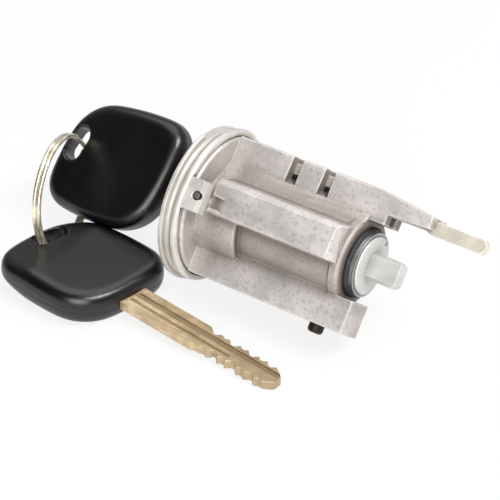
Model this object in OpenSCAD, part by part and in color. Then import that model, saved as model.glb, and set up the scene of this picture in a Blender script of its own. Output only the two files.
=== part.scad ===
// Ignition lock cylinder with a key in it, a split ring and a spare key.
// The barrel axis is +X, towards the tang at the back. Z is up, and the lock lies on its front cap
// and on the bevel of its lower rail. The origin is on the axis, at the back of the front cap.
// Each lock piece is drawn upright, with the keyway plane vertical and its show side towards -Y,
// and lay() then rolls it into the lying pose.

/* [Lying pose] */
// Roll of the lock about its own axis as it lies
roll_angle = 41; // [36:1:46]

/* [Front cap] */
// Radius of the front cap's rim
cap_r = 18.5; // [18:0.1:20]
// Length of the cap along the axis
cap_len = 4.6; // [4.2:0.1:6]
// Thickness of the cap's front wall
cap_wall = 2.2; // [1.8:0.1:2.4]
// Depth of the groove around the rim
cap_groove = 1.1; // [0.6:0.1:1.4]
// Width of the tongue that reaches back over the body
tongue_w = 7.2; // [6:0.1:8]
// Length of the tongue behind the cap
tongue_len = 3.9; // [3.6:0.1:4.6]
// How far the tongue's outer face lies inside the cap's rim
tongue_inset = 1.6; // [1.2:0.1:1.8]
// Radius of the pin that locks the tongue
cap_pin_r = 0.7; // [0.5:0.05:0.9]

/* [Body] */
// How far the body's front flange lies inside the cap's rim
flange_inset = 2.2; // [2:0.1:2.8]
// Back face of the body's front flange
flange_back = 0.8; // [0.5:0.1:1.4]
// Radius of the barrel's front section
barrel_front_r = 11.4; // [10.8:0.1:12.2]
// Radius of the barrel's main section
barrel_r = 9.7; // [9.2:0.1:10]
// Radius of the collar at the barrel's back end
barrel_back_r = 10.3; // [10.1:0.1:11]
// Where the front section steps down to the main section
barrel_step_x = 11.2; // [9:0.1:12]
// Where the barrel ends
barrel_end_x = 37.3; // [36.6:0.1:38]
// Length of the back collar
back_collar_len = 2.2; // [1.5:0.1:3]
// Height of the rib's face above the axis
rib_top = 13.3; // [12.6:0.1:14]
// Width of the rib
rib_w = 6.9; // [6:0.1:7.4]
// Width of the bevel along the rib's upper edge
rib_bevel = 1.2; // [0.6:0.1:1.6]
// How far the rib's middle stands above the axis plane
rib_rise = 1; // [0:0.1:1.4]
// Gap between the tongue and the forked end of the rib
rib_gap = 0.3; // [0.2:0.1:1.4]
// How far the rib ends before the barrel does
rib_short = 1.1; // [0.7:0.1:4]

/* [Rails] */
// Height of the flat rail faces above the axis
rail_face = 5; // [4.6:0.1:5.6]
// Depth of the rails behind that face
rail_depth = 8.5; // [8:0.1:9.4]
// Outer edge of the upper rail
upper_rail_top = 16.2; // [15.8:0.1:16.6]
// Lower edge of the upper rail at its back end
upper_rail_foot = 9; // [8.8:0.1:9.6]
// Outer edge of the lower rail, counted downwards
lower_rail_bottom = 16.1; // [15.4:0.1:16.6]
// Upper edge of the lower rail at its back end, counted downwards
lower_rail_head = 8.6; // [8.2:0.1:9.2]
// Where both rails end
rail_end_x = 41.2; // [40.6:0.1:42.4]
// How far back the deep bearing part of the lower rail runs
bearing_end_x = 32; // [26:0.5:33]
// Width of the bevel that the lower rail lies on
bevel_w = 5.5; // [4.4:0.1:6]

/* [Arm and lever] */
// Width of the lever slot in the upper rail
slot_w = 2.9; // [2.6:0.1:3.2]
// Floor of the lever slot above the axis
slot_floor = 11.3; // [11:0.1:11.6]
// Where the two arm cheeks end
arm_end_x = 51.3; // [49:0.1:54]
// Outer edge of the arm at its end
arm_end_top = 14.5; // [14.2:0.1:15.2]
// Lower edge of the arm at its end
arm_end_foot = 11.8; // [11.5:0.1:12.2]
// Width of the two windows in the show-side cheek
window_w = 2.6; // [2:0.1:3.4]
// Where the first window starts
window_x = 15; // [13:0.1:16]
// Distance between the windows
window_pitch = 8.4; // [7:0.1:9]
// Where the lever's tip ends
lever_tip_x = 64; // [60:0.5:68]
// Height of the lever's tip
lever_tip_h = 3.1; // [2.6:0.1:3.4]
// Where the lever turns
lever_pivot_x = 30; // [29:0.1:31]
// Radius of the lever's pin
lever_pin_r = 0.8; // [0.6:0.05:0.9]

/* [Plug] */
// Radius of the plug
plug_r = 6.5; // [6.3:0.05:6.8]
// Radius of the plug's front face
plug_head_r = 8; // [7.6:0.1:8.4]
// Number of wafer tumblers
wafer_count = 8; // [5:1:8]
// Distance between wafers
wafer_pitch = 2.5; // [2.3:0.05:2.6]
// Thickness of a wafer
wafer_t = 1; // [0.8:0.05:1.2]
// Radius of the tail disc
tail_r = 6.7; // [6.5:0.05:6.9]
// How far the tail disc's outer face stands behind the barrel
tail_stand = 2.8; // [2.6:0.05:3.3]
// Width of the drive tang
tang_w = 6.1; // [5.4:0.1:6.6]
// Thickness of the drive tang
tang_t = 3.8; // [3.2:0.1:4.4]
// Length of the drive tang
tang_len = 7.3; // [6:0.1:9]
// Thickness of the sealing ring's section
seal_t = 1.2; // [1:0.05:1.4]

/* [Plunger] */
// Radius of the retaining plunger
plunger_r = 1.75; // [1.5:0.05:2]
// How far the plunger stands out of the lower rail
plunger_out = 2.1; // [1.6:0.1:2.4]
// Where the plunger sits along the body
plunger_x = 33.4; // [32:0.1:36]

/* [Keys] */
// Width of a key blade
blade_w = 7.4; // [7:0.1:8]
// Thickness of a key blade
blade_t = 2.2; // [1.8:0.1:2.4]
// Length of a key blade
blade_len = 41; // [39:0.5:43]
// Length of a key head
head_len = 31.8; // [31:0.1:33]
// Width of a key head
head_w = 28.4; // [27:0.2:28.8]
// Thickness of a key head
head_t = 8.4; // [7.6:0.1:9]
// Thickness of a key head at its ring end
head_end_t = 6; // [5:0.1:6.6]
// Radius of the two tight corners of a head
head_tight_r = 6.6; // [5.6:0.1:8]
// Radius of the two full corners of a head
head_full_r = 11.6; // [10:0.1:12]
// How much further the full corner beside the blade reaches than its twin
head_full_drop = 1.2; // [0:0.1:2]
// Gap between the front cap and the head of the key in the lock
key_standoff = 8; // [6.5:0.1:9]
// Length of the ring slot across a head
ring_slot_len = 8.4; // [8:0.1:9]
// Width of the ring slot
ring_slot_w = 4.6; // [4.2:0.1:4.8]
// Distance from the ring slot's middle to the end of the head
ring_slot_inset = 4.7; // [4.6:0.1:5.6]
// Lean of the ring slot
ring_slot_lean = 14; // [0:1:18]
// Place of the spare key's shoulder along the lock
spare_x = -6.8; // [-8:0.1:-4]
// Place of the spare key's shoulder beside the lock
spare_y = -23.7; // [-30:0.1:-23.6]
// Heading of the spare key's blade
spare_heading = -5; // [-10:0.5:-4]

/* [Split ring] */
// Radius of the ring at the middle of its wire
ring_r = 13.3; // [13:0.1:13.6]
// Radius of the ring's wire
ring_wire_r = 0.55; // [0.45:0.05:0.65]
// Lean of the ring in the slot of the key in the lock
ring_lean = 7; // [0:1:14]

/* [Fits] */
// Gap of a running fit, on the radius
run_gap = 0.05; // [0.03:0.01:0.08]
// Gap of a loose sliding fit, each side
slide_gap = 0.2; // [0.15:0.01:0.25]

/* [Hidden] */

$fn = 64;
fine = 0.01;
cast_colour = [0.80, 0.78, 0.77];

// Chamfers on turned edges and on cast edges, and the gap of a pressed joint
edge_cut = 0.5;
cast_cut = 0.4;
press_gap = 0.02;

// Cap and body flange
flange_r = cap_r - flange_inset;
cap_inner_x = -(cap_len - cap_wall);
cap_lip_len = 1.7;
cap_lip_x = -cap_len + cap_lip_len;
groove_round = 0.8;
groove_out = 0.5;
tongue_top = cap_r - tongue_inset;
rear_lip_len = 1.2;
rear_lip_drop = 0.6;
tongue_step = 0.6;
tongue_root = 1;
cap_bore_r = plug_head_r + run_gap;
cap_skirt_r = flange_r + slide_gap;
tongue_under = rib_top;
cap_pin_x = tongue_len / 2 + 0.5;
cap_pin_hole_r = cap_pin_r + 0.35;
cap_pin_seat = 3;
cap_pin_sink = 0.1;
seat_half_w = tongue_w * 0.34;
rib_start_x = tongue_len + rib_gap;
rib_end_x = barrel_end_x - rib_short;
rib_root = barrel_r * 0.6;
fork_w = 2.8;
fork_len = 0.6;
fork_run = 3;
fork_floor = barrel_front_r + 0.3;

// Rails, slot and arm
rail_back = rail_face - rail_depth;
cheek_w = (rail_depth - slot_w) / 2;
slot_mid = rail_face - rail_depth / 2;
rail_root = barrel_r * 0.5;
ramp_foot = barrel_r * 0.74;
ramp_face = barrel_r * 0.67;
ramp_top = upper_rail_foot + 1.2;
arm_start_x = barrel_end_x;
slot_start_x = flange_back + 1.4;
slot_open_x = rail_end_x - 2.4;
window_lip = 0.1;
bearing_toe = 2;
bearing_back = -barrel_r * 0.8;
bevel_dir = [sin(roll_angle), -cos(roll_angle)];
// Depth on the bottom of the lower rail at which the lying pose meets the ground plane
bevel_start = (-cap_r + lower_rail_bottom * cos(roll_angle)) / sin(roll_angle);
bevel_end = [-lower_rail_bottom + bevel_w * bevel_dir[0], bevel_start + bevel_w * bevel_dir[1]];

// Plug and its tail
tail_face_x = barrel_end_x + tail_stand;
bore_r = plug_r + run_gap;
plug_front_x = -cap_len + 0.3;
plug_shoulder_x = cap_inner_x + 1;
plug_end_x = barrel_end_x - 0.1;
spigot_r = 3.6;
tail_disc_t = 0.5;
tail_disc_x = tail_face_x - tail_disc_t;
tail_disc_cut = 0.2;
spigot_end_x = tail_disc_x - 0.2;
spigot_seat_x = tail_disc_x + 0.1;
tail_hub_r = tail_r - 1.2;
tail_start_x = barrel_end_x + 0.1;
bush_r = tail_r + 0.7;
bush_groove = 0.3;
seal_x = barrel_end_x + run_gap + seal_t / 2;
seal_seat_r = tail_r + 0.2;
bush_lip_x = seal_x + seal_t * 0.35;
tail_pin_r = 0.7;
tail_pin_x = tail_start_x + 0.9;
tail_pin_len = 2 * tail_hub_r - 0.2;
tang_corner = 0.9;
tang_bevel = 0.7;
notch_w = 1.4;
notch_y = 2;
notch_floor = 5.2;
keyway_w = blade_w + 2 * slide_gap;
keyway_t = blade_t + 2 * slide_gap;
wafer_first_x = 9.4;
wafer_half_w = 3;
wafer_ear_w = 1.5;
wafer_ear_h = 1;
spring_pocket_depth = 3.7;
spring_y = wafer_half_w + wafer_ear_w / 2 + 0.1;
spring_pocket_half = 0.9;
wafer_room = 1.1;
wafer_play = 0.1;
wafer_channel_x = wafer_first_x - 1.5;

// Springs: mean radius, radius of the wire and number of turns
wafer_spring_r = 0.5;
wafer_spring_wire = 0.14;
wafer_spring_turns = 4;
spring_wire = 0.2;
lever_spring_turns = 4;
plunger_spring_turns = 6;

// Lever, follower and plunger
lever_t = slot_w - 2 * slide_gap;
lever_foot = slot_floor + 1.2;
lever_head = upper_rail_top - 1.2;
lever_pivot_z = (lever_foot + lever_head) / 2;
lever_front_x = 3.6;
lever_tip_foot = slot_floor - 0.5;
lever_bend_x = rail_end_x - 2;
lever_bend_len = 3;
lever_neck_x = arm_end_x - 1.8;
lever_neck_foot = lever_tip_foot + 0.5;
lever_step_x = arm_end_x - 0.6;
lever_brow = [arm_end_x - 1, arm_end_top - 0.5];
follower_x = 6;
follower_r = 1;
follower_room = follower_r + 0.4;
follower_groove_r = plug_r - 1.1;
follower_end = plug_r + run_gap;
lever_spring_x = lever_pivot_x + 5;
lever_spring_r = 0.9;
lever_spring_depth = 1.2;
plunger_hole_r = plunger_r + run_gap;
plunger_hole_top = bore_r + 1.5;
plunger_head = plunger_hole_top + 2.6;
plunger_bore_r = plunger_r - 0.5;
plunger_floor = lower_rail_bottom - 0.6;
plunger_nose = 0.7;
plunger_nose_cut = 0.2;
plunger_spring_r = plunger_bore_r - 0.35;

// Keys and ring: where the ring passes through the two heads
blade_root = 10;
slot_z = 1.2;
// How far the ring lies off the middle of the spare key's slot
ring_shift = 1.2;
// Place of the first wire end around the ring, how far on the second is, and the gap at each
ring_end_at = 40;
ring_end_turn = 25;
ring_end_gap = 0.5;
ring_split = 0.05;
head_full_inset = 1;
key_x = -cap_len - key_standoff;
slot_x = -(head_len - ring_slot_inset);
lock_slot = [key_x + slot_x, slot_z * sin(roll_angle), slot_z * cos(roll_angle)];
head_rest = head_t / 2;
// The spare key lies on the flat of its head nearest the blade and on the blade's tip
blade_drop = atan((head_rest - blade_t / 2) / (blade_len + head_rest));
spare_at = [spare_x, spare_y, -cap_r + head_rest * (cos(blade_drop) - sin(blade_drop))];
spare_slot = spare_at + slot_x * [
    cos(blade_drop) * cos(spare_heading), cos(blade_drop) * sin(spare_heading), -sin(blade_drop)
] + (slot_z - ring_shift) * [-sin(spare_heading), cos(spare_heading), 0];
ring_span = spare_slot - lock_slot;
slot_way = [tan(ring_lean), -cos(roll_angle), sin(roll_angle)];
ring_normal = cross(ring_span, slot_way) / norm(cross(ring_span, slot_way));
ring_front = cross(ring_normal, ring_span) / norm(ring_span);
// The ring slides up through both slots until its lowest point clears the ground
ring_tilt = sqrt(1 - pow(ring_normal[2], 2));
ring_low = (ring_r + ring_wire_r) * ring_tilt + 2 * ring_wire_r * abs(ring_normal[2]);
ring_rise = (ring_low + run_gap - cap_r - (lock_slot[2] + spare_slot[2]) / 2) / ring_front[2];
ring_mid = (lock_slot + spare_slot) / 2 + ring_front * ring_rise;

// Rolls an upright piece into the lying pose
module lay() {
    rotate([-roll_angle, 0, 0]) children();
}

// Carries a section along the axis: the drawing's first axis is Y, its second is Z
module along(x0, x1) {
    translate([x0, 0, 0]) rotate([90, 0, 90]) linear_extrude(x1 - x0) children();
}

// Turns a profile of [radius, x] points about the axis
module turned() {
    rotate([90, 0, 90]) rotate_extrude() children();
}

// A plate drawn as [x, z] between two depths of the show side
module plate(face, back) {
    translate([0, -back, 0]) rotate([90, 0, 0]) linear_extrude(face - back) children();
}

// A coil spring standing on z = 0: a round wire section carried up a helix
module coil(r, wire, height, turns) {
    steps = 8 * turns;
    sides = 5;
    points = [for (i = [0 : steps], j = [0 : sides - 1])
        let (a = 360 * turns * i / steps, b = 360 * j / sides, reach = r + wire * cos(b))
        [reach * cos(a), reach * sin(a), wire + (height - 2 * wire) * i / steps + wire * sin(b)]];
    skin = [for (i = [0 : steps - 1], j = [0 : sides - 1], half = [0, 1])
        let (k = (j + 1) % sides, a = i * sides, b = a + sides)
        half == 0 ? [a + j, a + k, b + k] : [a + j, b + k, b + j]];
    ends = [[for (j = [sides - 1 : -1 : 0]) j], [for (j = [0 : sides - 1]) steps * sides + j]];
    polyhedron(points, concat(skin, ends));
}

// Section of a rail: [depth towards the show side, height] points become a drawing on Y and Z
module rail_section(points) {
    polygon([for (p = points) [-p[0], p[1]]]);
}

// Front wall with its groove, the skirt around the body's flange, and the tongue
module front_cap() {
    rear_r = cap_r - rear_lip_drop;
    groove_r = cap_r - cap_groove;
    color([0.86, 0.85, 0.83]) lay() difference() {
        union() {
            turned() difference() {
                polygon([
                    [cap_bore_r, -cap_len], [cap_r - 2 * edge_cut, -cap_len],
                    [cap_r, -cap_len + edge_cut], [cap_r, cap_lip_x - cast_cut],
                    [groove_r, cap_lip_x], [groove_r, -rear_lip_len - cast_cut],
                    [rear_r, -rear_lip_len], [rear_r, -edge_cut], [rear_r - edge_cut, 0],
                    [cap_skirt_r, 0], [cap_skirt_r, cap_inner_x], [cap_bore_r, cap_inner_x]
                ]);
                translate([groove_r + groove_out, -cap_len / 2]) circle(groove_round);
            }
            plate(tongue_top, tongue_under) translate([-tongue_root, -tongue_w / 2]) {
                square([tongue_root + tongue_len - tongue_step, tongue_w]);
            }
            plate(tongue_top - tongue_step, tongue_under) {
                translate([0, -tongue_w / 2]) square([tongue_len, tongue_w]);
            }
        }
        // Clearance for the body's flange under the root of the tongue
        along(cap_inner_x, flange_back) circle(cap_skirt_r);
        translate([cap_pin_x, -tongue_under, 0]) rotate([90, 0, 0]) {
            translate([0, 0, -1]) cylinder(r = cap_pin_hole_r, h = cap_r);
        }
        // Relief of the front lip above the upper rail
        along(-cap_len - 1, cap_lip_x) difference() {
            intersection() {
                circle(cap_r + 1);
                polygon([[0, 0], [-2 * cap_r, 2 * cap_r], [2 * cap_r, 2 * cap_r]]);
            }
            circle(cap_r - cap_groove);
        }
        // Bevel around the key opening
        turned() polygon([
            [0, -cap_len - 1], [cap_bore_r + edge_cut + 1, -cap_len - 1],
            [cap_bore_r, -cap_len + edge_cut], [0, -cap_len + edge_cut]
        ]);
    }
}

// Pin pressed into the body through the tongue
module cap_pin() {
    color([0.45, 0.42, 0.40]) lay() translate([cap_pin_x, -(rib_top - cap_pin_seat), 0]) {
        rotate([90, 0, 0]) cylinder(r = cap_pin_r, h = tongue_top - rib_top + cap_pin_seat - cap_pin_sink);
    }
}

// Round core of the body: front flange, stepped barrel and back collar
module barrel_solid() {
    collar_x = barrel_end_x - back_collar_len;
    turned() polygon([
        [0, cap_inner_x], [flange_r, cap_inner_x], [flange_r, flange_back - cast_cut],
        [flange_r - cast_cut, flange_back], [barrel_r, flange_back], [barrel_r, collar_x - edge_cut],
        [barrel_back_r, collar_x], [barrel_back_r, barrel_end_x - edge_cut],
        [barrel_back_r - edge_cut, barrel_end_x], [0, barrel_end_x]
    ]);
    // The thicker front section leaves out the channel between the rib and the upper rail
    difference() {
        turned() polygon([
            [0, flange_back - fine], [barrel_front_r, flange_back - fine],
            [barrel_front_r, barrel_step_x - cast_cut], [barrel_front_r - cast_cut, barrel_step_x],
            [0, barrel_step_x]
        ]);
        translate([flange_back, -barrel_front_r - 1, rib_rise]) {
            cube([barrel_step_x, barrel_front_r + 1, barrel_front_r + 1]);
        }
    }
}

// Rib on the show side, forked at its front end, bevelled above and sloped at its back end
module rib_solid() {
    low = rib_rise - rib_w / 2;
    high = rib_rise + rib_w / 2;
    difference() {
        along(rib_start_x, rib_end_x) rail_section([
            [rib_root, low - edge_cut], [rib_top - cast_cut, low], [rib_top, low + cast_cut],
            [rib_top, high], [rib_top - rib_bevel, high + rib_bevel], [rib_root, high + 2 * rib_bevel]
        ]);
        // Hollow between the prongs of the fork, rising to the rib's face
        translate([rib_start_x, 0, -fork_w / 2]) linear_extrude(fork_w) polygon([
            [-1, -rib_top - 1], [-1, -fork_floor], [fork_len, -fork_floor],
            [fork_len + fork_run, -rib_top], [fork_len + fork_run, -rib_top - 1]
        ]);
        // Sloped back end
        translate([rib_end_x, 0, rib_rise - rib_w]) linear_extrude(2 * rib_w) polygon([
            [-rib_bevel, -rib_top - 1], [-rib_bevel, -rib_top], [0, -barrel_back_r],
            [1, -barrel_back_r], [1, -rib_top - 1]
        ]);
    }
    // Seat under the tongue
    along(flange_back - fine, rib_start_x + fine) rail_section([
        [rib_root, -seat_half_w], [fork_floor, -seat_half_w],
        [fork_floor, seat_half_w], [rib_root, seat_half_w]
    ]);
    along(flange_back - fine, tongue_len - edge_cut) rail_section([
        [rib_root, -seat_half_w], [rib_top, -seat_half_w], [rib_top, seat_half_w], [rib_root, seat_half_w]
    ]);
}

// Upper rail with its ramp down to the barrel, and the arm that carries the lever
module upper_rail_solid() {
    along(flange_back - fine, barrel_end_x) rail_section([
        [rail_back, rail_root], [ramp_face, rail_root], [ramp_face, ramp_foot],
        [rail_face, ramp_top], [rail_face, upper_rail_top - cast_cut],
        [rail_face - cast_cut, upper_rail_top], [rail_back + cast_cut, upper_rail_top],
        [rail_back, upper_rail_top - cast_cut]
    ]);
    plate(rail_face, rail_back) polygon([
        [arm_start_x - 1, upper_rail_foot], [rail_end_x, upper_rail_foot], [rail_end_x, slot_floor],
        [arm_end_x, arm_end_foot], [arm_end_x, arm_end_top], [arm_start_x, upper_rail_top],
        [arm_start_x - 1, upper_rail_top]
    ]);
}

// Lower rail: a deep bearing part with the bevel that it lies on, and a plain back end
module lower_rail_solid() {
    along(flange_back - fine, bearing_end_x) rail_section([
        [rail_face, -rail_root], [rail_face, -lower_rail_bottom], [bevel_start, -lower_rail_bottom],
        [bevel_end[1], bevel_end[0]], [bevel_end[1], bevel_end[0] + bearing_toe], [bearing_back, -rail_root]
    ]);
    along(bearing_end_x - fine, barrel_end_x) rail_section([
        [rail_face, -rail_root], [rail_face, -lower_rail_bottom], [rail_back, -lower_rail_bottom],
        [rail_back, -rail_root]
    ]);
    along(barrel_end_x - fine, rail_end_x) rail_section([
        [rail_face, -lower_rail_head], [rail_face, -lower_rail_bottom],
        [rail_back, -lower_rail_bottom], [rail_back, -lower_rail_head]
    ]);
}

// Slot for the lever, the two windows in the cheek and the lever's bores
module lever_cuts() {
    top = upper_rail_top + 2;
    plate(slot_mid + slot_w / 2, slot_mid - slot_w / 2) polygon([
        [slot_start_x, slot_floor], [slot_open_x, slot_floor],
        [slot_open_x, upper_rail_foot - 1], [arm_end_x + 1, upper_rail_foot - 1],
        [arm_end_x + 1, top], [slot_start_x, top]
    ]);
    for (i = [0, 1]) {
        x = window_x + i * window_pitch;
        along(x, x + window_w) rail_section([
            [rail_face + 1, ramp_top - window_lip], [rail_face, ramp_top - window_lip],
            [rail_face - cheek_w - window_lip, slot_floor], [rail_face - cheek_w - window_lip, top],
            [rail_face + 1, top]
        ]);
    }
    // Bore of the lever's pin, blind in the show-side cheek
    translate([lever_pivot_x, -rail_back + 1, lever_pivot_z]) rotate([90, 0, 0]) {
        cylinder(r = lever_pin_r, h = rail_depth - cheek_w / 2 + 1);
    }
    // Pocket of the lever's spring and bore of the follower
    translate([lever_spring_x, -slot_mid, slot_floor - lever_spring_depth]) {
        cylinder(r = lever_spring_r + slide_gap, h = lever_spring_depth + 1);
    }
    translate([follower_x, -slot_mid, 0]) cylinder(r = follower_r + run_gap, h = slot_floor + 1);
}

// Bore for the plug, its counterbore, the wafer channels and the plunger's hole
module plug_cuts() {
    along(cap_inner_x - 1, barrel_end_x + 1) circle(bore_r);
    along(cap_inner_x - 1, plug_shoulder_x) circle(plug_head_r + run_gap);
    along(wafer_channel_x, wafer_first_x + wafer_count * wafer_pitch) {
        square([2 * (wafer_half_w + slide_gap), 2 * (plug_r + wafer_room)], center = true);
    }
    translate([plunger_x, -slot_mid, -lower_rail_bottom - 1]) {
        cylinder(r = plunger_hole_r, h = lower_rail_bottom + 1 - plunger_hole_top);
    }
}

// Die-cast body in one piece
module housing() {
    room = 2 * cap_r;
    color(cast_colour) lay() difference() {
        union() {
            barrel_solid();
            rib_solid();
            upper_rail_solid();
            lower_rail_solid();
        }
        plug_cuts();
        lever_cuts();
        translate([cap_pin_x, -(rib_top - cap_pin_seat), 0]) rotate([90, 0, 0]) {
            cylinder(r = cap_pin_r, h = cap_pin_seat + 1);
        }
        // Ground plane of the lying pose: nothing reaches below the cap's rim
        rotate([roll_angle, 0, 0]) translate([-cap_len, -room / 2, -cap_r - room]) {
            cube([2 * room, room, room]);
        }
    }
}

// Rotor with its keyway, wafer slots, spring pockets and the groove the follower drops into
module plug() {
    color([0.78, 0.72, 0.58]) lay() difference() {
        turned() polygon([
            [0, plug_front_x], [plug_head_r - edge_cut, plug_front_x],
            [plug_head_r, plug_front_x + edge_cut],
            [plug_head_r, plug_shoulder_x - run_gap], [plug_r, plug_shoulder_x - run_gap],
            [plug_r, follower_x - follower_room], [follower_groove_r, follower_x - follower_room],
            [follower_groove_r, follower_x + follower_room], [plug_r, follower_x + follower_room],
            [plug_r, plug_end_x], [spigot_r, plug_end_x], [spigot_r, spigot_end_x], [0, spigot_end_x]
        ]);
        along(plug_front_x - 1, key_x + blade_len + 1) square([keyway_t, keyway_w], center = true);
        for (i = [0 : wafer_count - 1]) {
            x = wafer_first_x + i * wafer_pitch;
            along(x - slide_gap / 2, x + wafer_t + slide_gap / 2) {
                square([2 * (wafer_half_w + slide_gap / 2), 3 * plug_r], center = true);
            }
            along(x + wafer_t / 2 - spring_pocket_half, x + wafer_t / 2 + spring_pocket_half) {
                translate([wafer_half_w, -spring_pocket_depth]) {
                    square([wafer_ear_w + slide_gap, spring_pocket_depth + wafer_ear_h + slide_gap]);
                }
            }
        }
        translate([tail_pin_x, 0, -plug_r]) cylinder(r = tail_pin_r, h = 2 * plug_r);
    }
}

// Row of wafer tumblers: plates with a window for the blade and an ear for the spring
module wafers() {
    color([0.80, 0.68, 0.38]) lay() for (i = [0 : wafer_count - 1]) {
        x = wafer_first_x + i * wafer_pitch;
        along(x, x + wafer_t) difference() {
            union() {
                intersection() {
                    circle(plug_r - slide_gap);
                    square([2 * wafer_half_w, 3 * plug_r], center = true);
                }
                translate([wafer_half_w - fine, 0]) square([wafer_ear_w, wafer_ear_h]);
            }
            square([keyway_t + wafer_play, keyway_w + wafer_play], center = true);
        }
    }
}

// One small coil spring under each wafer's ear
module wafer_springs() {
    color([0.7, 0.7, 0.72]) lay() for (i = [0 : wafer_count - 1]) {
        translate([wafer_first_x + i * wafer_pitch + wafer_t / 2, spring_y, -spring_pocket_depth]) {
            coil(wafer_spring_r, wafer_spring_wire, spring_pocket_depth, wafer_spring_turns);
        }
    }
}

// Tail disc with its hub and the flat tang that drives the switch
module tail_piece() {
    root_x = tail_face_x - tail_disc_cut;
    end_x = tail_face_x + tang_len;
    side_w = tang_w / 2;
    side_t = tang_t / 2;
    color([0.88, 0.88, 0.87]) lay() difference() {
        union() {
            turned() polygon([
                [spigot_r + press_gap, tail_start_x], [tail_hub_r, tail_start_x], [tail_hub_r, tail_disc_x],
                [tail_r, tail_disc_x], [tail_r, tail_face_x - tail_disc_cut],
                [tail_r - tail_disc_cut, tail_face_x], [0, tail_face_x],
                [0, spigot_seat_x], [spigot_r + press_gap, spigot_seat_x]
            ]);
            intersection() {
                plate(side_t, -side_t) polygon([
                    [root_x, -side_w], [end_x - tang_corner, -side_w],
                    [end_x, -side_w + tang_corner], [end_x, side_w - tang_corner],
                    [end_x - tang_corner, side_w], [root_x, side_w]
                ]);
                along(root_x, end_x) polygon([
                    [-side_t, -side_w + tang_bevel], [-side_t + tang_bevel, -side_w],
                    [side_t - tang_bevel, -side_w], [side_t, -side_w + tang_bevel],
                    [side_t, side_w - tang_bevel], [side_t - tang_bevel, side_w],
                    [-side_t + tang_bevel, side_w], [-side_t, side_w - tang_bevel]
                ]);
            }
        }
        // Small timing notch in the disc's rim
        translate([tail_disc_x - 0.1, notch_y, notch_floor]) cube([tail_disc_t + 0.2, notch_w, tail_r]);
        translate([tail_pin_x, 0, -plug_r]) cylinder(r = tail_pin_r, h = 2 * plug_r);
    }
}

// Cross pin that locks the tail to the plug
module tail_pin() {
    color([0.5, 0.5, 0.52]) lay() translate([tail_pin_x, 0, -tail_pin_len / 2]) {
        cylinder(r = tail_pin_r, h = tail_pin_len);
    }
}

// Grooved bush on the tail's hub, with the seat of the sealing ring
module rear_bush() {
    step = (tail_disc_x - bush_lip_x) / 5;
    color([0.62, 0.61, 0.62]) lay() turned() polygon([
        [tail_hub_r + press_gap, tail_start_x], [seal_seat_r, tail_start_x], [seal_seat_r, bush_lip_x],
        [bush_r, bush_lip_x], [bush_r, bush_lip_x + step], [bush_r - bush_groove, bush_lip_x + step],
        [bush_r - bush_groove, bush_lip_x + 2 * step], [bush_r, bush_lip_x + 2 * step],
        [bush_r, bush_lip_x + 3 * step], [bush_r - bush_groove, bush_lip_x + 3 * step],
        [bush_r - bush_groove, bush_lip_x + 4 * step], [bush_r, bush_lip_x + 4 * step],
        [bush_r, tail_disc_x], [tail_hub_r + press_gap, tail_disc_x]
    ]);
}

// Rubber ring against the back of the body
module seal_ring() {
    color([0.07, 0.07, 0.08]) lay() turned() {
        translate([seal_seat_r + seal_t / 2 + press_gap, seal_x]) circle(seal_t / 2, $fn = 32);
    }
}

// Long flat lever: it lies in the slot of the upper rail and its rounded tip stands out of the arm
module lever() {
    tip_mid = lever_tip_foot + lever_tip_h / 2;
    tip_x = lever_tip_x - lever_tip_h / 2;
    color([0.90, 0.87, 0.78]) lay() difference() {
        plate(slot_mid + lever_t / 2, slot_mid - lever_t / 2) {
            polygon([
                [lever_front_x, lever_foot], [lever_bend_x - lever_bend_len, lever_foot],
                [lever_bend_x, lever_neck_foot], [lever_neck_x, lever_neck_foot],
                [lever_step_x, lever_tip_foot], [tip_x, lever_tip_foot],
                [tip_x, lever_tip_foot + lever_tip_h], lever_brow,
                [lever_bend_x, lever_head], [lever_front_x, lever_head]
            ]);
            translate([tip_x, tip_mid]) circle(lever_tip_h / 2);
        }
        translate([lever_pivot_x, -rail_back + 1, lever_pivot_z]) rotate([90, 0, 0]) {
            cylinder(r = lever_pin_r + run_gap, h = rail_depth + 2);
        }
    }
}

// Pin that the lever turns on, pressed in from the back
module lever_pin() {
    color([0.6, 0.6, 0.62]) lay() translate([lever_pivot_x, -rail_back, lever_pivot_z]) {
        rotate([90, 0, 0]) cylinder(r = lever_pin_r, h = rail_depth - cheek_w / 2);
    }
}

// Coil spring that lifts the lever behind its pin
module lever_spring() {
    height = lever_spring_depth + lever_foot - slot_floor - run_gap;
    color([0.7, 0.7, 0.72]) lay() {
        translate([lever_spring_x, -slot_mid, slot_floor - lever_spring_depth]) {
            coil(lever_spring_r - spring_wire, spring_wire, height, lever_spring_turns);
        }
    }
}

// Pin between the plug and the lever's front end
module follower_pin() {
    color([0.75, 0.74, 0.72]) lay() translate([follower_x, -slot_mid, follower_end]) {
        cylinder(r = follower_r, h = lever_foot - follower_end - run_gap);
    }
}

// Hollow retaining plunger with a rounded end
module plunger() {
    tip_z = -lower_rail_bottom - plunger_out;
    color([0.16, 0.12, 0.11]) lay() translate([plunger_x, -slot_mid, 0]) rotate_extrude() polygon([
        [0, tip_z], [plunger_r - plunger_nose, tip_z],
        [plunger_r - plunger_nose_cut, tip_z + plunger_nose_cut], [plunger_r, tip_z + plunger_nose],
        [plunger_r, -plunger_head], [plunger_bore_r, -plunger_head],
        [plunger_bore_r, -plunger_floor], [0, -plunger_floor]
    ]);
}

// Coil spring inside the plunger
module plunger_spring() {
    color([0.7, 0.7, 0.72]) lay() translate([plunger_x, -slot_mid, -plunger_floor]) {
        coil(plunger_spring_r, spring_wire, plunger_floor - plunger_hole_top, plunger_spring_turns);
    }
}

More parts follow.
